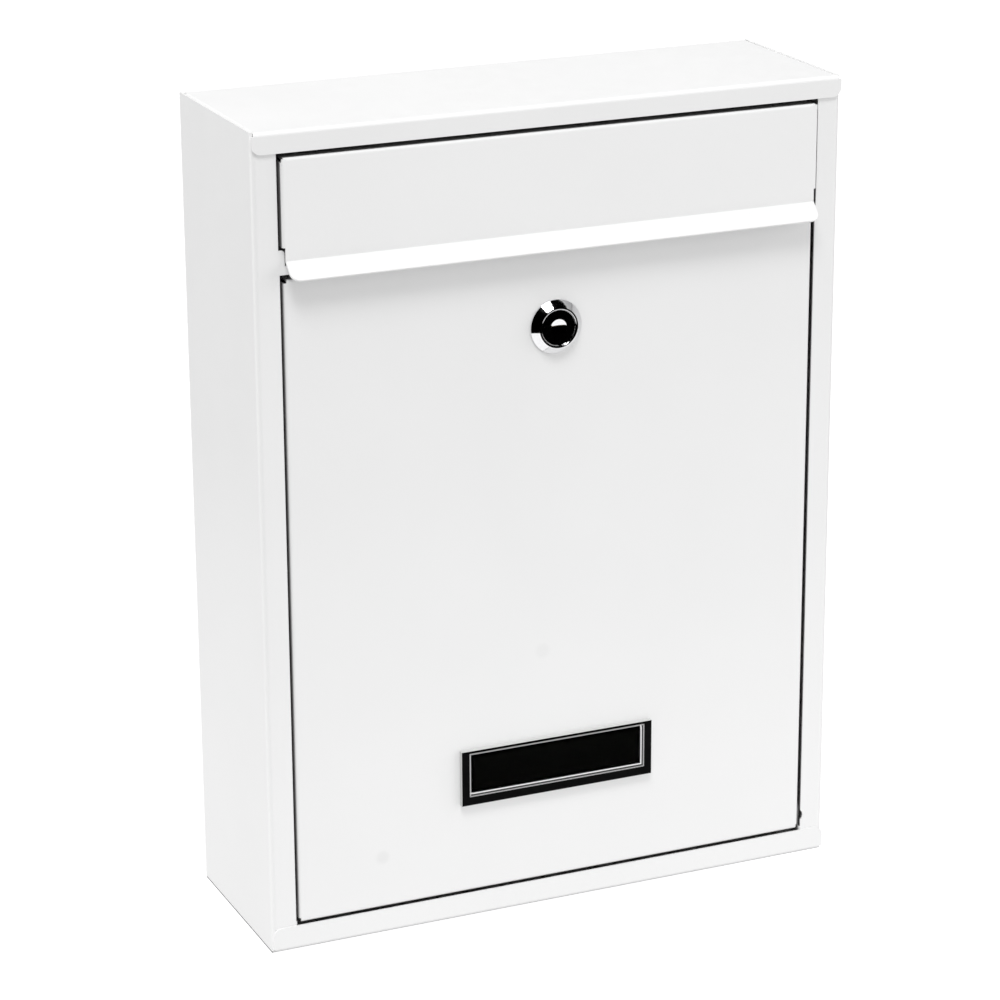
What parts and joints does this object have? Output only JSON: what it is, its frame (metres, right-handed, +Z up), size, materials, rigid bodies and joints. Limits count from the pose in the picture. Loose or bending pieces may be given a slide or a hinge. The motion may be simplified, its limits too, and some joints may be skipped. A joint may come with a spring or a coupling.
{
  "type": "wall mounted post box",
  "caption": "Upright wall post box of folded sheet steel with a letter slot under a hinged flap, a bottom-hinged locked door and a name plate.",
  "frame": {"origin": "centre of the four wall holes, on the outer face of the back panel", "axes": "+Z up along the height, -Y out of the front door, +X to the right seen from the front"},
  "size_m": [0.2304, 0.0821, 0.31],
  "materials": {
    "white_coat": "semi-gloss white powder coat",
    "zinc_steel": "bright zinc-plated steel",
    "lock_chrome": "polished chrome plate",
    "wafer_brass": "plain stamped brass",
    "black_plastic": "glossy black moulding",
    "black_card": "smooth black card",
    "clear_plastic": "clear polished plastic"
  },
  "bodies": {
    "housing": {"front_shell": "white_coat", "back_shell": "white_coat", "flap_bracket_left": "white_coat", "flap_bracket_right": "white_coat"},
    "flap": {"slot_flap": "white_coat", "flap_hinge_rod": "zinc_steel", "rod_clips": "zinc_steel"},
    "door": {"door_panel": "white_coat", "door_hinge_pin_left": "zinc_steel", "door_hinge_pin_right": "zinc_steel", "lock_housing": "lock_chrome", "lock_washer": "zinc_steel", "lock_nut": "zinc_steel", "name_holder": "black_plastic", "name_card": "black_card", "name_window": "clear_plastic", "peg_clips": "zinc_steel"},
    "lock_core": {"lock_plug": "lock_chrome", "lock_wafers": "wafer_brass", "wafer_springs": "zinc_steel", "lock_cam": "zinc_steel", "cam_washer": "zinc_steel", "cam_screw": "zinc_steel"}
  },
  "joints": [
    {"name": "flap_hinge", "type": "hinge", "parent": "housing", "child": "flap", "pos_m": [0, -0.07, 0.1394], "axis": [-1, 0, 0], "range_deg": [0, 95]},
    {"name": "door_hinge", "type": "hinge", "parent": "housing", "child": "door", "pos_m": [0, -0.071, -0.13945], "axis": [1, 0, 0], "range_deg": [0, 100]},
    {"name": "lock_turn", "type": "hinge", "parent": "door", "child": "lock_core", "pos_m": [0, -0.075, 0.0728], "axis": [0, 1, 0], "range_deg": [0, 90]}
  ]
}
